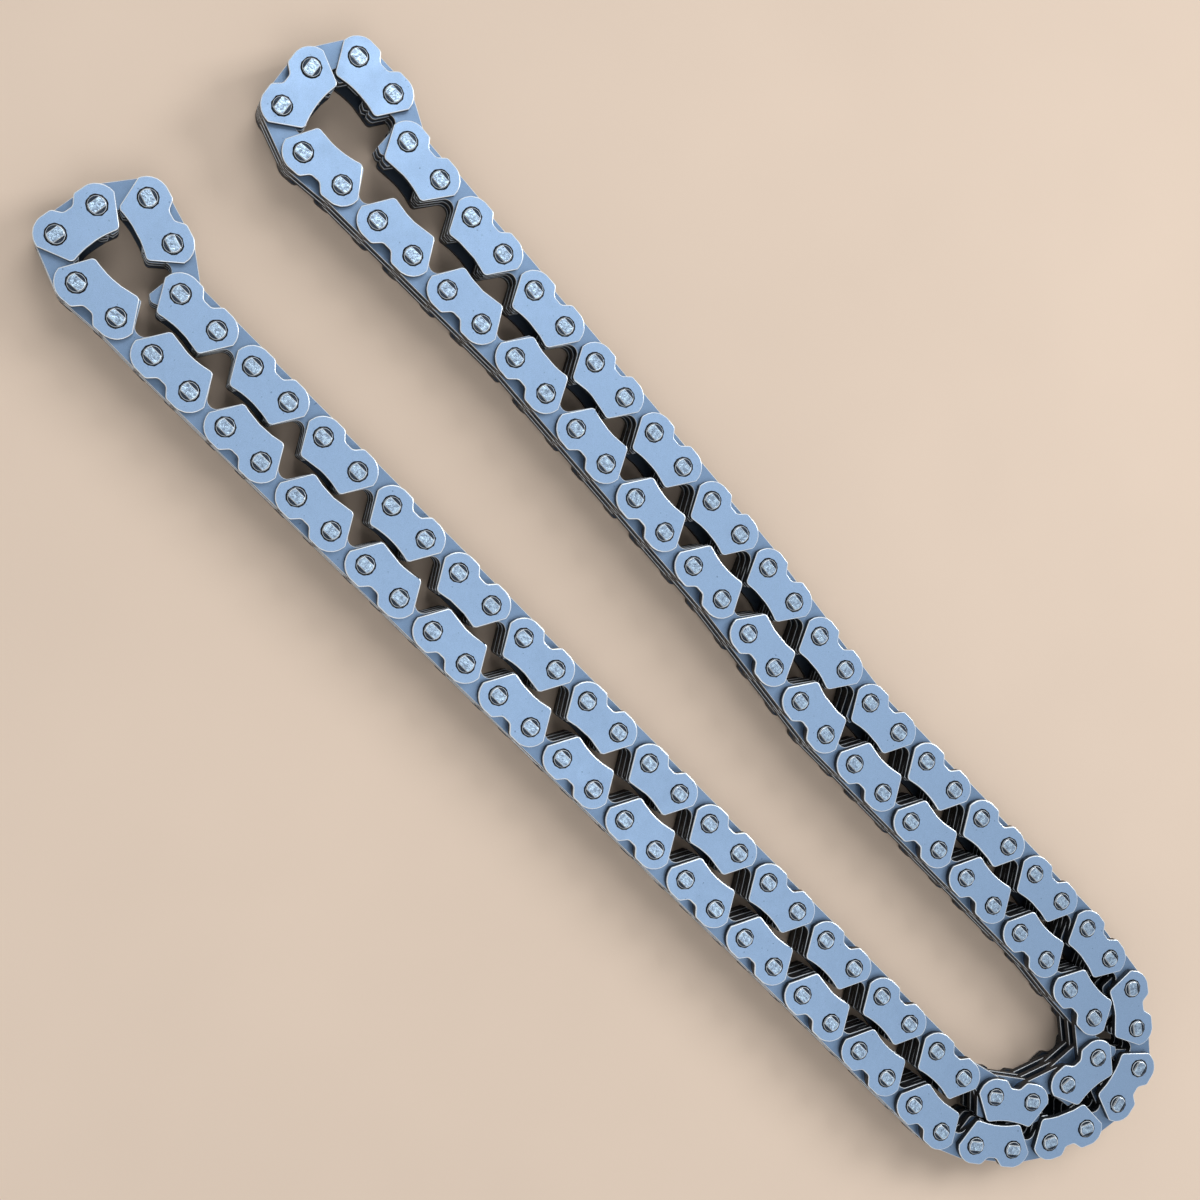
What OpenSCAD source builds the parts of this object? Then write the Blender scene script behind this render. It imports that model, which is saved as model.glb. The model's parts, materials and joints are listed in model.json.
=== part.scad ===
// Inverted-tooth (silent) timing chain: an endless loop of toothed plates on round
// pins, laid flat on its side as a long, narrow U.
// The teeth point into the loop, so on each leg of the U the two strands face each other.
// All sizes are millimetres. The pins stand along Z and the legs of the U run along Y.

/* [Chain] */
// Distance between neighbouring pins
pitch = 6.35; // [6:0.05:6.8]
// Links in each strand of the left leg
left_leg_links = 25; // [22:1:32]
// Links in each strand of the right leg between its bow and the bend
right_lower_links = 8; // [6:1:10]
// Links in each strand of the right leg where it bows
right_bow_links = 4; // [2:1:6]
// Links in each strand of the right leg between its bow and its tip
right_upper_links = 12; // [10:1:18]

/* [Plates] */
// Thickness of a toothed link plate
link_plate_t = 1.05; // [0.8:0.05:1.5]
// Thickness of a guide plate, the outermost plate on each side
guide_plate_t = 1; // [0.7:0.05:1.5]
// Running gap between the faces of neighbouring plates
side_gap = 0.05; // [0.03:0.01:0.1]
// Height of the tooth tips above the pin line
tooth_h = 3.8; // [3.6:0.05:3.95]
// Slope of the outer flank of a tooth, from the plate's upright
flank_slope = 30; // [28:0.5:32]
// Radius that rounds the outer corner of each tooth
tip_round = 0.75; // [0.6:0.05:0.8]
// Width of the land on top of a link plate's tooth, inside its rounded corner
tip_land = 0.6; // [0.4:0.05:0.8]
// Height of the bottom of the crotch between a link plate's teeth above the pin line
crotch_h = 0.6; // [0.3:0.05:1]
// Radius of the bottom of the crotch
crotch_r = 1.2; // [0.9:0.05:1.3]
// Gap between the round ends of neighbouring plates in one row
end_gap = 0.8; // [0.7:0.05:1]
// Sag of the hollow between a guide plate's two tips
guide_sag = 0.4; // [0.2:0.05:0.6]
// Width of the floor of the notch in a guide plate's back
notch_w = 1.4; // [1:0.05:1.8]
// Depth of that floor below the pin line
notch_h = 1.6; // [1.5:0.05:1.9]
// Slope of the sides of the notch
notch_slope = 48; // [42:1:55]
// Radius that rounds the corners of the notch
notch_round = 0.8; // [0.5:0.05:0.85]

/* [Pins] */
// Diameter of a pin
pin_d = 2.4; // [2:0.05:2.8]
// Radial running clearance of a pin in a link plate
pin_clearance = 0.03; // [0.02:0.01:0.06]
// Height that a pin's end stands proud of its guide plate
pin_proud = 0.35; // [0.2:0.05:0.6]
// Width of the band left standing on a staked pin's end
stake_band = 1.35; // [1:0.05:1.7]
// Depth of the two steps beside that band
stake_depth = 0.2; // [0.1:0.05:0.3]
// Bevel round a pin's end
pin_bevel = 0.12; // [0.05:0.01:0.2]
// Width of the countersink round a pin in a guide plate
sink_w = 0.2; // [0.1:0.05:0.3]

/* [Lay of the chain] */
// Gap between the tooth tips of the two strands of a leg
strand_gap = 0.45; // [0.4:0.05:0.9]
// How far the inner strand of the left leg lies towards the tip, against the outer one
left_stagger = -3; // [-3.2:0.1:-2.5]
// The same on the right leg
right_stagger = 1.4; // [1:0.1:2]
// Lean of the right leg between the bend and its bow
lower_lean = 0.6; // [0:0.1:1]
// Lean of the right leg in its bow
bow_lean = -6; // [-8:0.5:-4]
// Lean of the right leg between its bow and its tip
upper_lean = -3; // [-4:0.5:-2]
// Angle by which the strands of the right leg part at its tip
tip_splay = 5; // [3:0.5:6]

/* [Sections that move together] */
// Links of each strand that stay with the bend
bend_keeps = 3; // [2:1:5]
// Links of each section that swings
swing_links = 4; // [3:1:4]
// Links between the two swinging sections of the left leg
left_middle_links = 9; // [6:1:10]
// Links between the two swinging sections of the right leg
right_middle_links = 8; // [5:1:8]

/* [Hidden] */
$fn = 48;
eps = 0.01;
// Lines that run into a round corner cut this far into it, so that each crossing is a clean one
nip = 0.01;

// Headings of the links that lie on curves, in degrees from +X, as the photographed chain lies
OUTER_BEND = [-72, -58, -42, -33, -15, 10, 50, 54, 85, 85];
INNER_BEND = [-96, -94, -128, -188, -204, -236, -256];
RIGHT_TIP = [62, 90, 151, 188, 250, 277];
LEFT_TIP = [52, 72, 146, 173, 248, 274, 269];

// Two neighbouring joints together fold no further than this before teeth of one row meet
FULL_FOLD = 100;
fold_gap = 0.04;

// Rounds in which the headings are adjusted until they meet the vector they have to span
SPREAD_ROUNDS = 8;

half = pitch / 2;
end_r = (pitch - end_gap) / 2;
strand_spacing = 2 * tooth_h + strand_gap;
splay_links = 5;

// A tooth tip stands as far out from its pin as a full fold leaves room for
tip_c = [
    half + (half - fold_gap - tip_round - (tooth_h - tip_round) * sin(FULL_FOLD / 2)) / cos(FULL_FOLD / 2),
    tooth_h - tip_round
];
tip_x = tip_c.x + tip_round * (1 - sin(flank_slope)) / cos(flank_slope);
sag_r = (tip_c.x * tip_c.x + guide_sag * guide_sag) / (2 * guide_sag) - tip_round;
crotch_c = [0, crotch_h + crotch_r];
back_h = end_r - nip;

// The plates lie in seven layers: guide, link, link, link, link, link, guide
LINK_ROWS = 5;
layer = link_plate_t + side_gap;
first_link_z = pin_proud + guide_plate_t + side_gap;
top_guide_z = first_link_z + LINK_ROWS * layer;
pin_len = top_guide_z + guide_plate_t + pin_proud;

function polar(r, a) = [r * cos(a), r * sin(a)];
function angle_of(v) = atan2(v.y, v.x);
// Point where a line from p touches a circle, on the side that turn gives
function touch(p, c, r, turn) = c + polar(r, angle_of(p - c) + turn * acos(r / norm(p - c)));
function mirrored(points) = [for (i = [len(points) - 1:-1:0]) [-points[i].x, points[i].y]];
function both_sides(points) = concat(points, mirrored(points));

// Links laid out end to end: headings, adjusted evenly until they add up to a given vector
function spread(h, target, rounds = SPREAD_ROUNDS) =
    rounds <= 0 ? h :
    let (
        c = [for (a = h) cos(a)],
        s = [for (a = h) sin(a)],
        one = [for (a = h) 1],
        miss = target / pitch - [c * one, s * one],
        det = (s * s) * (c * c) - (s * c) * (s * c),
        u = ((c * c) * miss.x + (s * c) * miss.y) / det,
        v = ((s * s) * miss.y + (s * c) * miss.x) / det
    )
    spread([for (i = [0:len(h) - 1]) h[i] + (v * c[i] - u * s[i]) * 180 / PI], target, rounds - 1);

function reach(h) = pitch * [
    [for (a = h) cos(a)] * [for (a = h) 1],
    [for (a = h) sin(a)] * [for (a = h) 1]
];
function same(n, a) = [for (i = [1:n]) a];
function reversed(v) = [for (i = [len(v) - 1:-1:0]) v[i]];
function shifted(v, by) = [for (a = v) a + by];
function part_of(v, from, to) = [for (i = [from:to - 1]) v[i]];

// Lean of each link of the right leg, from the bend to the tip
right_lean = concat(
    same(right_lower_links, lower_lean),
    same(right_bow_links, bow_lean),
    same(right_upper_links, upper_lean)
);
right_leg_links = len(right_lean);
right_straight = right_leg_links - splay_links;
right_up = shifted(right_lean, 90);
right_down = shifted(reversed(right_lean), 270);

// The tips span the distance between the strands, and the bends close the loop
left_span = [-strand_spacing, left_stagger];
right_span = polar(strand_spacing, 180 + upper_lean) + polar(right_stagger, 90 + upper_lean);
left_turn = spread(LEFT_TIP, left_span);
right_turn = spread(
    concat(
        part_of(right_up, right_straight, right_leg_links),
        RIGHT_TIP,
        shifted(part_of(right_down, 0, splay_links), tip_splay)
    ),
    right_span
);
bends = spread(concat(OUTER_BEND, INNER_BEND), -reach(left_turn) - reach(right_turn));
outer_bend = part_of(bends, 0, len(OUTER_BEND));
inner_bend = part_of(bends, len(OUTER_BEND), len(bends));

// The whole loop, from the top of the left leg's outer strand: down, round the bend, up the
// right leg, round its tip, down, round the inner bend, up the left leg and round its tip
heading = concat(
    same(left_leg_links, -90),
    outer_bend,
    part_of(right_up, 0, right_straight),
    right_turn,
    part_of(right_down, splay_links, right_leg_links),
    inner_bend,
    same(left_leg_links, 90),
    left_turn
);
LINKS = len(heading);

raw_pin = [
    for (i = 0, p = [0, 0]; i < LINKS; p = p + polar(pitch, heading[i]), i = i + 1) p
];
// A point of link i, given in the plate's own frame, where the plate lies
function laid(i, q) =
    raw_pin[i] + polar(half + q.x, heading[i]) + polar(q.y, heading[i] + 90);
outer_points = [
    for (i = [0:LINKS - 1]) each [
        laid(i, [tip_c.x, tooth_h]), laid(i, [-tip_c.x, tooth_h]),
        raw_pin[i] + [end_r, end_r], raw_pin[i] - [end_r, end_r]
    ]
];
low = [min([for (q = outer_points) q.x]), min([for (q = outer_points) q.y])];
high = [max([for (q = outer_points) q.x]), max([for (q = outer_points) q.y])];
pin = [for (q = raw_pin) q - (low + high) / 2];

// Sections of the loop: name, first link, number of links
left_tip_keeps = left_leg_links - bend_keeps - 2 * swing_links - left_middle_links;
right_tip_keeps = right_leg_links - bend_keeps - 2 * swing_links - right_middle_links;
SECTION_LINKS = [
    ["outer_bend", 2 * bend_keeps + len(OUTER_BEND)],
    ["right_outer_lower", swing_links],
    ["right_outer_middle", right_middle_links],
    ["right_outer_upper", swing_links],
    ["right_tip", 2 * right_tip_keeps + len(RIGHT_TIP)],
    ["right_inner_upper", swing_links],
    ["right_inner_middle", right_middle_links],
    ["right_inner_lower", swing_links],
    ["inner_bend", 2 * bend_keeps + len(INNER_BEND)],
    ["left_inner_lower", swing_links],
    ["left_inner_middle", left_middle_links],
    ["left_inner_upper", swing_links],
    ["left_tip", 2 * left_tip_keeps + len(LEFT_TIP)],
    ["left_outer_upper", swing_links],
    ["left_outer_middle", left_middle_links],
    ["left_outer_lower", swing_links]
];
SECTIONS = [
    for (
        i = 0, first = left_leg_links - bend_keeps;
        i < len(SECTION_LINKS);
        first = first + SECTION_LINKS[i][1], i = i + 1
    ) [SECTION_LINKS[i][0], first, SECTION_LINKS[i][1]]
];

GUIDE_COLOUR = [0.66, 0.74, 0.84];
LINK_COLOUR = [0.5, 0.57, 0.67];
PIN_COLOUR = [0.78, 0.83, 0.88];

// Both plates have round ends, straight flanks and rounded tooth corners
module round_ends() {
    for (x = [-half, half])
        translate([x, 0])
            circle(end_r);
}

// The head runs out past the flanks, and they cut it back
module toothed_head() {
    top = [tip_c.x, tooth_h];
    side = tip_c + polar(tip_round, flank_slope);
    beyond = [half, 0] + polar(pitch, flank_slope);
    polygon(both_sides([2 * top - side, 2 * side - top, beyond, [half, 0]]));
    for (x = [-tip_c.x, tip_c.x])
        translate([x, tip_c.y])
            circle(tip_round + nip);
}

// The outline that both plates share: flat back, round ends, straight flanks and two tips
module plate_outline() {
    drop = 2 * pitch;
    intersection() {
        polygon(both_sides([
            [tip_x, tooth_h],
            [tip_x + drop * tan(flank_slope), tooth_h - drop]
        ]));
        union() {
            round_ends();
            toothed_head();
            polygon(both_sides([[half, 0], [half, -back_h]]));
        }
    }
}

module bores(d) {
    for (x = [-half, half])
        translate([x, 0])
            circle(d = d);
}

// Notch in the back: sloping sides, a flat floor, and round corners in and out
module back_notch() {
    down = polar(1, -notch_slope);
    cut_back = notch_round * tan(notch_slope / 2);
    inner = [notch_w / 2, -notch_h];
    mouth = inner + down * (back_h - notch_h) / sin(notch_slope);
    shoulder = mouth + [cut_back, 0];
    out = [0, -tooth_h];
    polygon(both_sides([inner - [cut_back, 0], inner + cut_back * down, mouth, mouth + out]));
    for (x = [-1, 1] * (inner.x - cut_back))
        translate([x, inner.y - notch_round])
            circle(notch_round + nip);
    difference() {
        polygon(both_sides([mouth - cut_back * down, shoulder, shoulder + out]));
        for (x = [-1, 1] * shoulder.x)
            translate([x, notch_round - back_h])
                circle(notch_round + nip);
    }
}

// Guide plate: hollow between the tips, a notch in its back, no crotch
module guide_outline() {
    difference() {
        plate_outline();
        translate([0, tooth_h - guide_sag + sag_r])
            circle(sag_r + nip, $fn = 96);
        back_notch();
    }
}

// Link plate: a round-bottomed crotch between its teeth and a plain back
module link_outline() {
    mouth = [tip_c.x - tip_land, tooth_h];
    root = touch(mouth, crotch_c, crotch_r - nip, -1);
    difference() {
        plate_outline();
        polygon(both_sides([mouth + [0, eps], mouth, root]));
        translate(crotch_c)
            circle(crotch_r);
    }
}

module at_link(i, z) {
    a = pin[i];
    translate([a.x, a.y, z])
        rotate([0, 0, heading[i]])
            translate([half, 0, 0])
                children();
}

// A guide plate with its outer face up and a countersink round each pin
module guide_plate() {
    difference() {
        linear_extrude(guide_plate_t)
            difference() {
                guide_outline();
                bores(pin_d);
            }
        for (x = [-half, half])
            translate([x, 0, guide_plate_t - sink_w])
                cylinder(h = 2 * sink_w, d1 = pin_d, d2 = pin_d + 4 * sink_w);
    }
}

module link_plate() {
    linear_extrude(link_plate_t)
        difference() {
            link_outline();
            bores(pin_d + 2 * pin_clearance);
        }
}

// A pin with bevelled ends, each staked by a step on either side of a standing band
module staked_end() {
    for (side = [-1, 1])
        translate([-pin_d, side * (stake_band / 2 + pin_d / 2) - pin_d / 2, -eps])
            cube([2 * pin_d, pin_d, stake_depth + eps]);
}

module staked_pin() {
    difference() {
        union() {
            cylinder(h = pin_bevel, d1 = pin_d - 2 * pin_bevel, d2 = pin_d);
            translate([0, 0, pin_bevel])
                cylinder(h = pin_len - 2 * pin_bevel, d = pin_d);
            translate([0, 0, pin_len - pin_bevel])
                cylinder(h = pin_bevel, d1 = pin_d, d2 = pin_d - 2 * pin_bevel);
        }
        staked_end();
        translate([0, 0, pin_len])
            mirror([0, 0, 1])
                staked_end();
    }
}

// Every second link carries the guide plates, and its two pins are fixed in them
function links_of(s) = [for (i = [s[1]:s[1] + s[2] - 1]) i % LINKS];
function has_guides(i) = i % 2 == 0;

module guide_plates(s) {
    color(GUIDE_COLOUR)
        for (i = links_of(s))
            if (has_guides(i)) {
                at_link(i, top_guide_z)
                    guide_plate();
                at_link(i, pin_proud + guide_plate_t)
                    mirror([0, 0, 1])
                        guide_plate();
            }
}

module link_plates(s) {
    color(LINK_COLOUR)
        for (i = links_of(s), row = [0:LINK_ROWS - 1])
            if (has_guides(i) == (row % 2 == 1))
                at_link(i, first_link_z + row * layer)
                    link_plate();
}

module pins(s) {
    color(PIN_COLOUR)
        for (i = links_of(s))
            if (has_guides(i))
                at_link(i, 0)
                    for (x = [-half, half])
                        translate([x, 0, 0])
                            staked_pin();
}

for (s = SECTIONS) {
    guide_plates(s);
    link_plates(s);
    pins(s);
}
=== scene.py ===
import json
import math

import bmesh
import bpy
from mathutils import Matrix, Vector

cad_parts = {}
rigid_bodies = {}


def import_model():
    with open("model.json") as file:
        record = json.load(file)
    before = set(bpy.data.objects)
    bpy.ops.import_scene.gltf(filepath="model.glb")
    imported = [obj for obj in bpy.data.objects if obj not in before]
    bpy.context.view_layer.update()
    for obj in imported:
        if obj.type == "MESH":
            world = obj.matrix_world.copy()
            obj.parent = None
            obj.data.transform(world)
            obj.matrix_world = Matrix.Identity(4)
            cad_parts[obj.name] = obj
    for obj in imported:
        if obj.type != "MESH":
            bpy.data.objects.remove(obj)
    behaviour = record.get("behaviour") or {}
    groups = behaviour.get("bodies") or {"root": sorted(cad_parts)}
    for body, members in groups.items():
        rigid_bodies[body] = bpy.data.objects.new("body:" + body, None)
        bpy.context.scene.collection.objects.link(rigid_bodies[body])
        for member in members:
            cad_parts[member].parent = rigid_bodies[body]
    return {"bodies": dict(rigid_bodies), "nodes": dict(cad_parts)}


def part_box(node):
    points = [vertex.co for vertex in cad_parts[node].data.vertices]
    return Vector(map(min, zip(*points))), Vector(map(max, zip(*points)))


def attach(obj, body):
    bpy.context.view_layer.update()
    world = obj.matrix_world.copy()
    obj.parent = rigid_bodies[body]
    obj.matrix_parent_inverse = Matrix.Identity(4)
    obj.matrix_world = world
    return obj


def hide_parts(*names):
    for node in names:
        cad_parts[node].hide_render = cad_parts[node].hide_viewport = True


bl_info = {
    "name": "Silent timing chain",
    "version": (1, 0, 0),
    "blender": (4, 5, 0),
    "location": "View3D > Sidebar > Timing chain",
    "description": "Dresses the timing chain's plates and pins in tumbled steel and sets its stage",
    "category": "Add Mesh",
}

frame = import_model()
NODES = frame["nodes"]
SECTIONS = list(frame["bodies"])
MM = 0.001

# How upright a normal is: a level face has more than the first, a side face less than the second
LEVEL = 0.9999
SIDE = 0.8

# Turns between faces that are made one: on a plane, on a curve, and in a bore that a pin fills
SAME_PLANE = math.radians(0.6)
FACET = math.radians(8)
WIDE_FACET = math.radians(16)

# Turns that make an edge of a plate or a pin sharp, and the widest turn that is shaded smooth
PLATE_SHARP = math.radians(40)
PIN_SHARP = math.radians(35)
SMOOTH = math.radians(32)

# Points this close are one point, and heights this close are one height
WELD = 0.0005 * MM
HAIR = 0.01 * MM

# Any bore is narrower than this, and any plate wider
BORE_SPAN = 3.5 * MM

# The steps of a pin's end lie deeper than this, and its standing band doesn't
STEP_DEPTH = 0.1 * MM

# Fine pits of tumbled plates
PIT_SIZE = 0.09 * MM

# Places of the materials on a plate and on a pin
FACE, WALL, RIM, INNER = range(4)
BAND, ROUND_SIDE, STEP, END_RIM = range(4)


# Node material helpers

def new_material(name):
    material = bpy.data.materials.new(name)
    material.use_nodes = True
    tree = material.node_tree
    tree.nodes.clear()
    output = tree.nodes.new("ShaderNodeOutputMaterial")
    shader = tree.nodes.new("ShaderNodeBsdfPrincipled")
    tree.links.new(shader.outputs["BSDF"], output.inputs["Surface"])
    return material, tree, shader


def object_coordinates(tree, scale=(1, 1, 1)):
    place = tree.nodes.new("ShaderNodeTexCoord")
    mapping = tree.nodes.new("ShaderNodeMapping")
    mapping.inputs["Scale"].default_value = scale
    tree.links.new(place.outputs["Object"], mapping.inputs["Vector"])
    return mapping.outputs["Vector"]


def noise(tree, vector, size, detail, roughness=0.55):
    texture = tree.nodes.new("ShaderNodeTexNoise")
    texture.inputs["Scale"].default_value = 1 / size
    texture.inputs["Detail"].default_value = detail
    texture.inputs["Roughness"].default_value = roughness
    tree.links.new(vector, texture.inputs["Vector"])
    return texture.outputs["Fac"]


def ramp(tree, factor, *stops):
    """A colour for each value of a factor, from stops of a position and a colour."""
    node = tree.nodes.new("ShaderNodeValToRGB")
    elements = node.color_ramp.elements
    while len(elements) < len(stops):
        elements.new(0.5)
    for element, (position, colour) in zip(elements, stops):
        element.position = position
        element.color = (*colour, 1)
    tree.links.new(factor, node.inputs["Fac"])
    return node.outputs["Color"]


def remap(tree, factor, old, new):
    """A factor stretched from one range to another."""
    node = tree.nodes.new("ShaderNodeMapRange")
    for key, value in zip(("From Min", "From Max", "To Min", "To Max"), (*old, *new)):
        node.inputs[key].default_value = value
    tree.links.new(factor, node.inputs["Value"])
    return node.outputs["Result"]


def multiplied(tree, first, second):
    node = tree.nodes.new("ShaderNodeMix")
    node.data_type = "RGBA"
    node.blend_type = "MULTIPLY"
    node.inputs["Factor"].default_value = 1
    tree.links.new(first, node.inputs["A"])
    tree.links.new(second, node.inputs["B"])
    return node.outputs["Result"]


def bump(tree, height, distance, strength, under=None):
    node = tree.nodes.new("ShaderNodeBump")
    node.inputs["Distance"].default_value = distance
    node.inputs["Strength"].default_value = strength
    tree.links.new(height, node.inputs["Height"])
    if under is not None:
        tree.links.new(under, node.inputs["Normal"])
    return node.outputs["Normal"]


def shades(colour, shade):
    """A colour made darker and lighter by a share of itself."""
    dark = tuple(c * (1 - shade) for c in colour)
    light = tuple(min(1, c * (1 + shade)) for c in colour)
    return dark, light


def surfaced(tree, shader, **sockets):
    """Links the base colour, roughness or normal of a shader to what drives it."""
    for name, source in sockets.items():
        tree.links.new(source, shader.inputs[name.replace("_", " ").title()])


def tumbled_steel(name, colour, shade, roughness):
    """Steel tumbled with stones: fine pits, faint clouding and a satin sheen."""
    material, tree, shader = new_material(name)
    vector = object_coordinates(tree)
    clouds = noise(tree, vector, size=3.2 * MM, detail=4)
    pits = noise(tree, vector, size=PIT_SIZE, detail=2, roughness=0.7)
    nicks = noise(tree, vector, size=0.42 * MM, detail=0)
    dark, light = shades(colour, shade)
    base = ramp(tree, clouds, (0.3, dark), (0.52, colour), (0.75, light))
    specks = ramp(
        tree, pits, (0.3, (0.84, 0.84, 0.85)), (0.5, (1, 1, 1)), (0.72, (1.1, 1.1, 1.09)),
    )
    marks = ramp(tree, nicks, (0.14, (0.6, 0.62, 0.66)), (0.2, (1, 1, 1)))
    surfaced(
        tree, shader,
        base_color=multiplied(tree, multiplied(tree, base, specks), marks),
        roughness=remap(tree, clouds, (0.3, 0.75), (roughness + 0.05, roughness - 0.05)),
        normal=bump(tree, pits, distance=0.02 * MM, strength=0.35),
    )
    shader.inputs["Metallic"].default_value = 0.9
    return material


def hammered_steel(name, colour, shade, roughness):
    """Pin ends: bright steel, dented by the tool that stakes them, with painted light and shade on
    the dents.
    """
    material, tree, shader = new_material(name)
    vector = object_coordinates(tree)
    dents_and_painted_facets = noise(tree, vector, size=0.55 * MM, detail=3, roughness=0.6)
    pits = noise(tree, vector, size=0.16 * MM, detail=2, roughness=0.7)
    # The colour follows the same dents as the bump: painted light and shade on the facets
    dark, light = shades(colour, shade)
    coarse = bump(tree, dents_and_painted_facets, distance=0.12 * MM, strength=0.8)
    surfaced(
        tree, shader,
        base_color=ramp(tree, dents_and_painted_facets, (0.36, dark), (0.5, colour), (0.64, light)),
        roughness=remap(tree, pits, (0.3, 0.7), (roughness + 0.1, roughness - 0.08)),
        normal=bump(tree, pits, distance=0.02 * MM, strength=0.4, under=coarse),
    )
    shader.inputs["Metallic"].default_value = 0.9
    return material


def rubbed_rim_with_highlight(name, colour, shade, roughness):
    """Edges that tumbling has rubbed, coloured near-white as a painted highlight, a little
    unevenly.
    """
    material, tree, shader = new_material(name)
    vector = object_coordinates(tree)
    wear = noise(tree, vector, size=0.9 * MM, detail=3, roughness=0.6)
    scuffs = noise(tree, vector, size=0.12 * MM, detail=2, roughness=0.7)
    dark, light = shades(colour, shade)
    surfaced(
        tree, shader,
        base_color=ramp(tree, wear, (0.3, dark), (0.5, colour), (0.7, light)),
        roughness=remap(tree, scuffs, (0.3, 0.7), (roughness + 0.08, roughness - 0.06)),
        normal=bump(tree, scuffs, distance=0.01 * MM, strength=0.3),
    )
    shader.inputs["Metallic"].default_value = 0.25
    return material


def blanked_edge(name, colour, shade, roughness):
    """Side of a blanked plate or a pin, oily and streaked along the press stroke; its near-black
    colour is a painted shade.
    """
    material, tree, shader = new_material(name)
    stroke = object_coordinates(tree, scale=(1, 1, 0.12))
    streaks = noise(tree, stroke, size=0.18 * MM, detail=2, roughness=0.6)
    oil = noise(tree, object_coordinates(tree), size=1.6 * MM, detail=2)
    dark, light = shades(colour, shade)
    surfaced(
        tree, shader,
        base_color=ramp(tree, streaks, (0.35, dark), (0.5, colour), (0.68, light)),
        roughness=remap(tree, oil, (0.3, 0.7), (roughness + 0.08, roughness - 0.08)),
        normal=bump(tree, streaks, distance=0.03 * MM, strength=0.4),
    )
    shader.inputs["Metallic"].default_value = 0
    shader.inputs["Specular IOR Level"].default_value = 0.3
    return material


def paper(name, colour, shade):
    """The pale sheet under the chain."""
    material, tree, shader = new_material(name)
    vector = object_coordinates(tree)
    clouds = noise(tree, vector, size=60 * MM, detail=3)
    fibres = noise(tree, vector, size=0.8 * MM, detail=3, roughness=0.6)
    dark = shades(colour, shade)[0]
    surfaced(
        tree, shader,
        base_color=ramp(tree, clouds, (0.3, dark), (0.7, colour)),
        normal=bump(tree, fibres, distance=0.05 * MM, strength=0.2),
    )
    shader.inputs["Roughness"].default_value = 0.85
    shader.inputs["Specular IOR Level"].default_value = 0.2
    return material


# Mesh helpers

def merged_copy(node):
    """A copy of a CAD node's mesh as one bmesh, its flats made whole and its curves coarser."""
    bm = bmesh.new()
    bm.from_mesh(NODES[node].data)
    bmesh.ops.remove_doubles(bm, verts=bm.verts, dist=WELD)
    for turn in (SAME_PLANE, FACET):
        bmesh.ops.dissolve_limit(bm, angle_limit=turn, verts=bm.verts, edges=bm.edges)
    return bm


def wall_rings(bm):
    """The side faces of all plates as two sets, round their outlines and round their bores."""
    walls = {face for face in bm.faces if abs(face.normal.z) < SIDE}
    outlines, bores = set(), set()
    while walls:
        ring, front = [], [walls.pop()]
        while front:
            face = front.pop()
            ring.append(face)
            beside = {other for edge in face.edges for other in edge.link_faces} & walls
            walls -= beside
            front.extend(beside)
        places = [vert.co for face in ring for vert in face.verts]
        span = max((place - places[0]).length for place in places)
        (outlines if span > BORE_SPAN else bores).update(ring)
    return outlines, bores


def coarser(bm, ring):
    """Leaves a ring of side faces with half its facets."""
    edges = [edge for edge in bm.edges if any(face in ring for face in edge.link_faces)]
    verts = [vert for vert in bm.verts if any(face in ring for face in vert.link_faces)]
    bmesh.ops.dissolve_limit(bm, angle_limit=WIDE_FACET, verts=verts, edges=edges)


def level_edges(bm, ring, heights=None):
    """The sharp, level edges of a ring of side faces, all or only those at some heights."""
    found = []
    for edge in bm.edges:
        first, second = (vert.co.z for vert in edge.verts)
        level = abs(first - second) < HAIR
        wanted = heights is None or min(abs(first - z) for z in heights) < HAIR
        beside = any(face in ring for face in edge.link_faces)
        if level and wanted and beside and edge.calc_face_angle(0) > PLATE_SHARP:
            found.append(edge)
    return found


def mark_walls(bm, material_index):
    """Gives a material to the side faces."""
    for face in bm.faces:
        if abs(face.normal.z) < SIDE:
            face.material_index = material_index


def mark_inner_faces(bm, low, high, depth):
    """Marks the level faces that look inwards or lie deeper in the stack than a depth; they take a
    near-black colour, a painted shade.
    """
    middle = (low + high) / 2
    for face in bm.faces:
        z = face.calc_center_median().z
        outward = face.normal.z * (z - middle) > 0
        buried = min(high - z, z - low) > depth
        if abs(face.normal.z) > LEVEL and (buried or not outward):
            face.material_index = INNER


def mark_steps(bm, low, high):
    """Marks the two steps beside the standing band on each end of a pin; they take a near-black
    colour, a painted shade.
    """
    for face in bm.faces:
        z = face.calc_center_median().z
        if face.material_index == BAND and min(high - z, z - low) > STEP_DEPTH:
            face.material_index = STEP


def rounded_edges(bm, edges, width, segments, material_index):
    """Rounds the edges and gives the new faces a material."""
    rims = bmesh.ops.bevel(
        bm, geom=edges, offset=width, offset_type="OFFSET", affect="EDGES",
        segments=segments, profile=0.5, material=-1, clamp_overlap=True,
    )
    for face in rims["faces"]:
        face.material_index = material_index


def dressed(bm, node, body, materials):
    """Turns a bmesh into the piece that stands for a CAD node."""
    name = node + "_finished"
    mesh = bpy.data.meshes.new(name)
    bm.to_mesh(mesh)
    bm.free()
    mesh.set_sharp_from_angle(angle=SMOOTH)
    curved = [abs(face.normal.z) < LEVEL for face in mesh.polygons]
    mesh.polygons.foreach_set("use_smooth", curved)
    piece = bpy.data.objects.new(name, mesh)
    bpy.context.scene.collection.objects.link(piece)
    for material in materials:
        mesh.materials.append(material)
    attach(piece, body)
    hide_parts(node)
    return piece


# Settings

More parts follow.
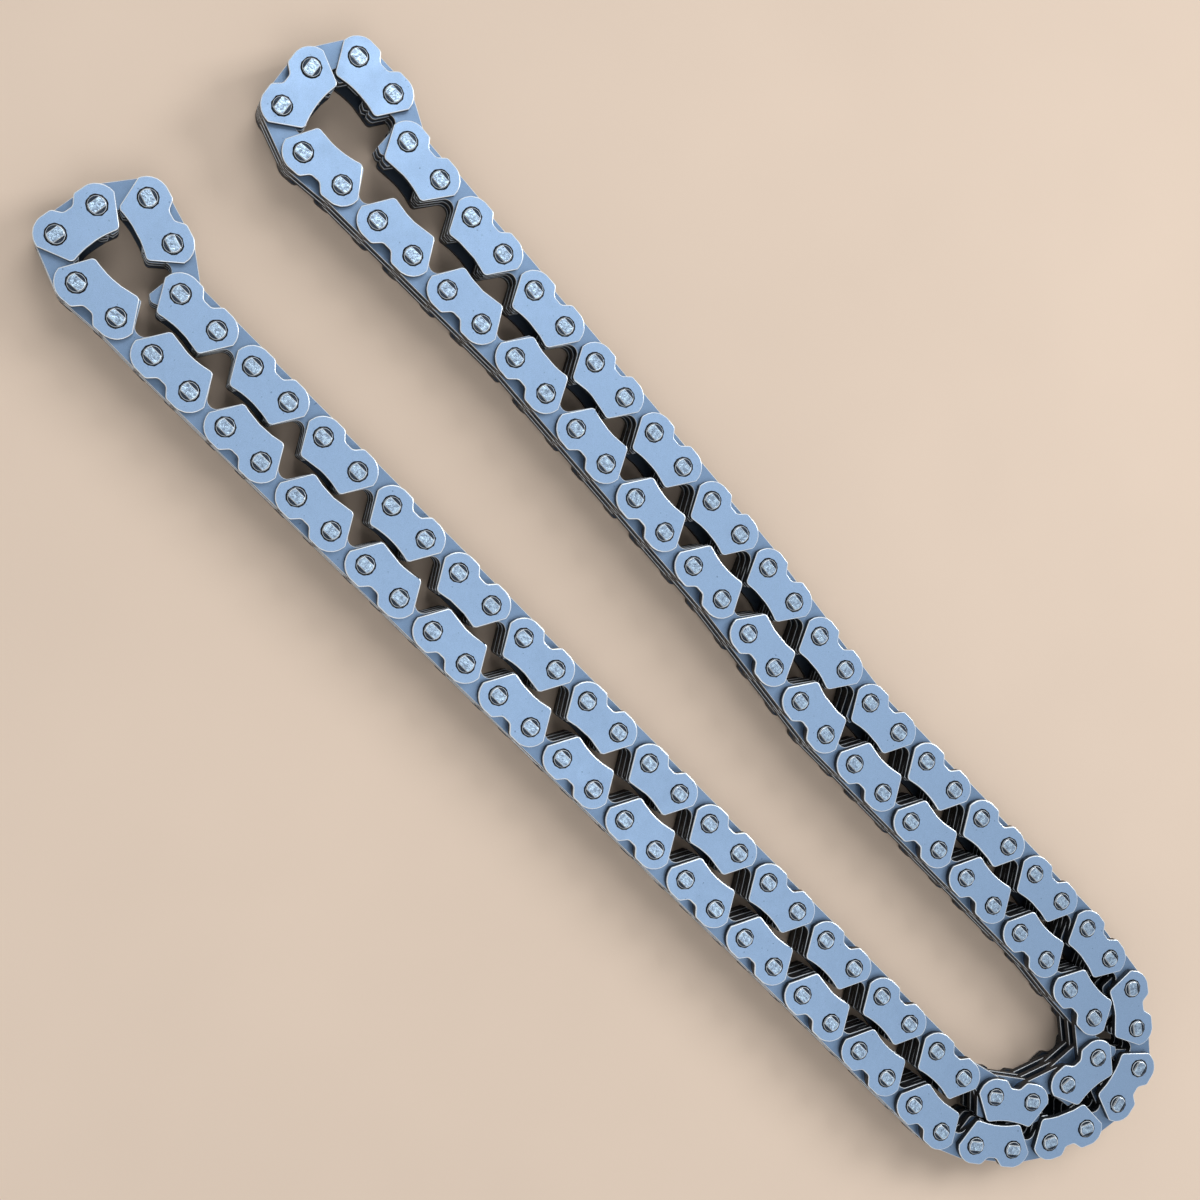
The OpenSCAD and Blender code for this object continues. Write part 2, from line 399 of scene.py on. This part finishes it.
class PlateSettings(bpy.types.PropertyGroup):
    guide_colour: bpy.props.FloatVectorProperty(
        name="Guide plate colour", description="Base colour of the guide plates",
        subtype="COLOR", size=3, min=0, max=1, default=(0.345, 0.505, 0.745),
    )
    # Painted shade: the link plates' steel is coloured darker than the guide plates' for the shade
    # they lie in below the guide plates
    link_colour_with_shade: bpy.props.FloatVectorProperty(
        name="Link plate colour", description="Base colour of the toothed link plates",
        subtype="COLOR", size=3, min=0, max=1, default=(0.225, 0.34, 0.52),
    )
    # Painted shade: the level faces inside the stack take this near-black colour for the shade
    # between the plates
    inner_shade_colour: bpy.props.FloatVectorProperty(
        name="Inner face colour",
        description="Base colour of the faces inside the stack, dark with oil",
        subtype="COLOR", size=3, min=0, max=1, default=(0.07, 0.095, 0.135),
    )
    # Below this depth the faces take the painted shade of the inner colour
    inner_depth: bpy.props.FloatProperty(
        name="Inner depth",
        description="Depth below the outermost plates at which oil darkens the faces",
        default=1.3 * MM, min=0.1 * MM, max=2 * MM, unit="LENGTH", precision=6,
    )
    # Painted highlight on the rubbed edges: a near-white, mostly non-metal colour that stays bright
    # under any light
    rim_wear_and_highlight_colour: bpy.props.FloatVectorProperty(
        name="Rim colour", description="Colour of the plates' rounded edges, rubbed bright",
        subtype="COLOR", size=3, min=0, max=1, default=(0.86, 0.93, 1),
    )
    sink_round: bpy.props.FloatProperty(
        name="Countersink edge",
        description="Width of the rounded edge of the countersink round a pin",
        default=0.045 * MM, min=0.01 * MM, max=0.08 * MM, unit="LENGTH", precision=6,
    )
    edge_round: bpy.props.FloatProperty(
        name="Guide plate edge", description="Width of the rounded edge of a guide plate",
        default=0.15 * MM, min=0.02 * MM, max=0.2 * MM, unit="LENGTH", precision=6,
    )
    link_edge_round: bpy.props.FloatProperty(
        name="Link plate edge", description="Width of the rounded edge of a link plate",
        default=0.07 * MM, min=0.02 * MM, max=0.2 * MM, unit="LENGTH", precision=6,
    )
    # Painted shade: the plates' sides and the countersinks round the pins take this near-black
    # colour for the shade and dark reflections in the narrow gaps
    side_shade_colour: bpy.props.FloatVectorProperty(
        name="Blanked edge colour", description="Base colour of the plates' sides, dark with oil",
        subtype="COLOR", size=3, min=0, max=1, default=(0.022, 0.024, 0.028),
    )


class PinSettings(bpy.types.PropertyGroup):
    colour: bpy.props.FloatVectorProperty(
        name="Pin colour", description="Base colour of the staked pins",
        subtype="COLOR", size=3, min=0, max=1, default=(0.43, 0.58, 0.78),
    )
    # Painted highlight on the rubbed edges of a pin's end
    rim_wear_and_highlight_colour: bpy.props.FloatVectorProperty(
        name="Pin rim colour",
        description="Colour of the edges of a staked pin end, rubbed bright",
        subtype="COLOR", size=3, min=0, max=1, default=(0.88, 0.95, 1),
    )
    # Painted shade: the steps take this near-black colour for the dark crescent beside a pin's
    # standing band
    step_shade_colour: bpy.props.FloatVectorProperty(
        name="Step colour", description="Base colour of the two steps beside the standing band",
        subtype="COLOR", size=3, min=0, max=1, default=(0.035, 0.048, 0.07),
    )
    # Painted shade: a pin's round side takes this near-black colour for the shade in the gap round
    # it
    side_shade_colour: bpy.props.FloatVectorProperty(
        name="Side colour", description="Base colour of a pin's round side",
        subtype="COLOR", size=3, min=0, max=1, default=(0.02, 0.022, 0.028),
    )
    edge_round: bpy.props.FloatProperty(
        name="Pin edge", description="Width of the rounded edges of a staked pin end",
        default=0.05 * MM, min=0.01 * MM, max=0.1 * MM, unit="LENGTH", precision=6,
    )


class StageSettings(bpy.types.PropertyGroup):
    floor_colour: bpy.props.FloatVectorProperty(
        name="Floor colour", description="Colour of the paper under the chain",
        subtype="COLOR", size=3, min=0, max=1, default=(0.79, 0.645, 0.525),
    )
    floor_size: bpy.props.FloatProperty(
        name="Floor size", description="Side of the square floor",
        default=3, min=1, unit="LENGTH",
    )
    camera_at: bpy.props.FloatVectorProperty(
        name="Camera position", description="Where the camera stands",
        size=3, default=(-0.03972, 0.07215, 0.23621), unit="LENGTH", precision=5,
    )
    camera_turn: bpy.props.FloatVectorProperty(
        name="Camera rotation", description="Rotation of the camera about X, Y and Z",
        size=3, subtype="EULER",
        default=(math.radians(-3.5598), math.radians(-15.9525), math.radians(-44.8951)),
    )
    focal_length: bpy.props.FloatProperty(
        name="Focal length", description="Focal length in millimetres on a 36 mm sensor",
        default=51.84, min=20, max=120,
    )
    world_strength: bpy.props.FloatProperty(
        name="Room light", description="Strength of the light from all round",
        default=0.42, min=0, max=2,
    )


# One operator for each kind of piece

class CHAIN_OT_guide_plates(bpy.types.Operator):
    """Dress the guide plates, the outermost plates on both sides of the chain"""
    bl_idname = "chain.guide_plates"
    bl_label = "Guide plates"

    def execute(self, context):
        settings = context.scene.chain_plates
        materials = (
            tumbled_steel(
                "tumbled_guide_steel", settings.guide_colour, shade=0.07, roughness=0.4),
            blanked_edge("blanked_guide_edge", settings.side_shade_colour, shade=0.4, roughness=0.5),
            rubbed_rim_with_highlight("worn_guide_rim_with_highlight", settings.rim_wear_and_highlight_colour, shade=0.1, roughness=0.3),
            # The fourth material paints shade on the faces inside the stack
            tumbled_steel("shaded_inner_guide_steel", settings.inner_shade_colour, shade=0.2, roughness=0.45),
        )
        for section in SECTIONS:
            node = section + "_guide_plates"
            lowest, highest = (corner[2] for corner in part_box(node))
            bm = merged_copy(node)
            mark_walls(bm, WALL)
            mark_inner_faces(bm, lowest, highest, settings.inner_depth)
            coarser(bm, wall_rings(bm)[1])
            sinks = level_edges(bm, wall_rings(bm)[1], (lowest, highest))
            # The countersinks' rounded edges take the near-black side material, as their cone faces
            # already do: a painted shade ring round each pin
            rounded_edges(bm, sinks, settings.sink_round, 1, WALL)
            outlines = level_edges(bm, wall_rings(bm)[0], (lowest, highest))
            rounded_edges(bm, outlines, settings.edge_round, 2, RIM)
            dressed(bm, node, section, materials)
        return {"FINISHED"}


class CHAIN_OT_link_plates(bpy.types.Operator):
    """Dress the toothed link plates between the guide plates"""
    bl_idname = "chain.link_plates"
    bl_label = "Link plates"

    def execute(self, context):
        settings = context.scene.chain_plates
        materials = (
            tumbled_steel("tumbled_link_steel_with_shade", settings.link_colour_with_shade, shade=0.08, roughness=0.42),
            blanked_edge("blanked_link_edge", settings.side_shade_colour, shade=0.5, roughness=0.45),
            rubbed_rim_with_highlight("worn_link_rim_with_highlight", settings.rim_wear_and_highlight_colour, shade=0.14, roughness=0.32),
            # The fourth material paints shade on the faces inside the stack
            tumbled_steel("shaded_inner_link_steel", settings.inner_shade_colour, shade=0.2, roughness=0.45),
        )
        for section in SECTIONS:
            node = section + "_link_plates"
            lowest, highest = (corner[2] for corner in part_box(node))
            bm = merged_copy(node)
            mark_walls(bm, WALL)
            mark_inner_faces(bm, lowest, highest, settings.inner_depth)
            outlines = level_edges(bm, wall_rings(bm)[0])
            rounded_edges(bm, outlines, settings.link_edge_round, 1, RIM)
            dressed(bm, node, section, materials)
        return {"FINISHED"}


class CHAIN_OT_pins(bpy.types.Operator):
    """Dress the pins, whose ends are staked on both sides"""
    bl_idname = "chain.pins"
    bl_label = "Pins"

    def execute(self, context):
        settings = context.scene.chain_pins
        materials = (
            hammered_steel("staked_pin_steel", settings.colour, shade=0.4, roughness=0.28),
            blanked_edge("pin_side_steel", settings.side_shade_colour, shade=0.3, roughness=0.4),
            hammered_steel("shaded_pin_step_steel", settings.step_shade_colour, shade=0.2, roughness=0.4),
            rubbed_rim_with_highlight("worn_pin_rim_with_highlight", settings.rim_wear_and_highlight_colour, shade=0.1, roughness=0.25),
        )
        for section in SECTIONS:
            node = section + "_pins"
            lowest, highest = (corner[2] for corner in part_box(node))
            bm = merged_copy(node)
            mark_walls(bm, ROUND_SIDE)
            mark_steps(bm, lowest, highest)
            sharp = [edge for edge in bm.edges if edge.calc_face_angle(0) > PIN_SHARP]
            rounded_edges(bm, sharp, settings.edge_round, 1, END_RIM)
            dressed(bm, node, section, materials)
        return {"FINISHED"}


class CHAIN_OT_stage(bpy.types.Operator):
    """Lay the pale floor, hang the lights and set the camera"""
    bl_idname = "chain.stage"
    bl_label = "Stage"

    def execute(self, context):
        settings = context.scene.chain_stage
        bm = bmesh.new()
        bmesh.ops.create_grid(bm, x_segments=1, y_segments=1, size=settings.floor_size / 2)
        mesh = bpy.data.meshes.new("floor")
        bm.to_mesh(mesh)
        bm.free()
        floor = bpy.data.objects.new("floor", mesh)
        context.scene.collection.objects.link(floor)
        mesh.materials.append(paper("pale_paper", settings.floor_colour, shade=0.05))

        world = bpy.data.worlds.new("room")
        context.scene.world = world
        world.use_nodes = True
        sky = world.node_tree.nodes["Background"]
        sky.inputs["Color"].default_value = (1, 1, 1, 1)
        sky.inputs["Strength"].default_value = settings.world_strength

        area_light("window", at=(0.62, -0.3, 0.48), size=0.28, power=2.6)
        area_light("high_right", at=(0.6, 0.35, 1), size=0.6, power=4)
        area_light("high_left", at=(-0.32, -0.36, 1.05), size=0.6, power=2)

        lens = bpy.data.cameras.new("camera")
        lens.lens = settings.focal_length
        lens.sensor_width = 36
        lens.sensor_fit = "HORIZONTAL"
        lens.clip_start = 0.01
        camera = bpy.data.objects.new("camera", lens)
        camera.location = settings.camera_at
        camera.rotation_euler = settings.camera_turn
        context.scene.collection.objects.link(camera)
        context.scene.camera = camera
        context.scene.view_settings.view_transform = "Standard"
        return {"FINISHED"}


def area_light(name, at, size, power):
    """A square lamp that faces the chain."""
    lamp = bpy.data.lights.new(name, "AREA")
    lamp.shape = "SQUARE"
    lamp.size = size
    lamp.energy = power
    light = bpy.data.objects.new(name, lamp)
    light.location = at
    light.rotation_euler = (-Vector(at)).to_track_quat("-Z", "Y").to_euler()
    bpy.context.scene.collection.objects.link(light)


class CHAIN_PT_panel(bpy.types.Panel):
    """Lists the chain's pieces and settings"""
    bl_idname = "CHAIN_PT_panel"
    bl_label = "Timing chain"
    bl_space_type = "VIEW_3D"
    bl_region_type = "UI"
    bl_category = "Timing chain"

    def draw(self, context):
        for group in GROUPS:
            settings = getattr(context.scene, group)
            box = self.layout.box()
            for key in settings.__annotations__:
                box.prop(settings, key)
        for operator in STEPS:
            self.layout.operator(operator.bl_idname)


GROUPS = {
    "chain_plates": PlateSettings,
    "chain_pins": PinSettings,
    "chain_stage": StageSettings,
}
STEPS = (CHAIN_OT_stage, CHAIN_OT_guide_plates, CHAIN_OT_link_plates, CHAIN_OT_pins)


def register():
    for cls in (*GROUPS.values(), *STEPS, CHAIN_PT_panel):
        bpy.utils.register_class(cls)
    for name, group in GROUPS.items():
        setattr(bpy.types.Scene, name, bpy.props.PointerProperty(type=group))


def unregister():
    for name in GROUPS:
        delattr(bpy.types.Scene, name)
    for cls in reversed((*GROUPS.values(), *STEPS, CHAIN_PT_panel)):
        bpy.utils.unregister_class(cls)


def main():
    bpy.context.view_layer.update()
    register()
    for step in STEPS:
        group, name = step.bl_idname.split(".")
        getattr(getattr(bpy.ops, group), name)()


if __name__ == "__main__":
    main()
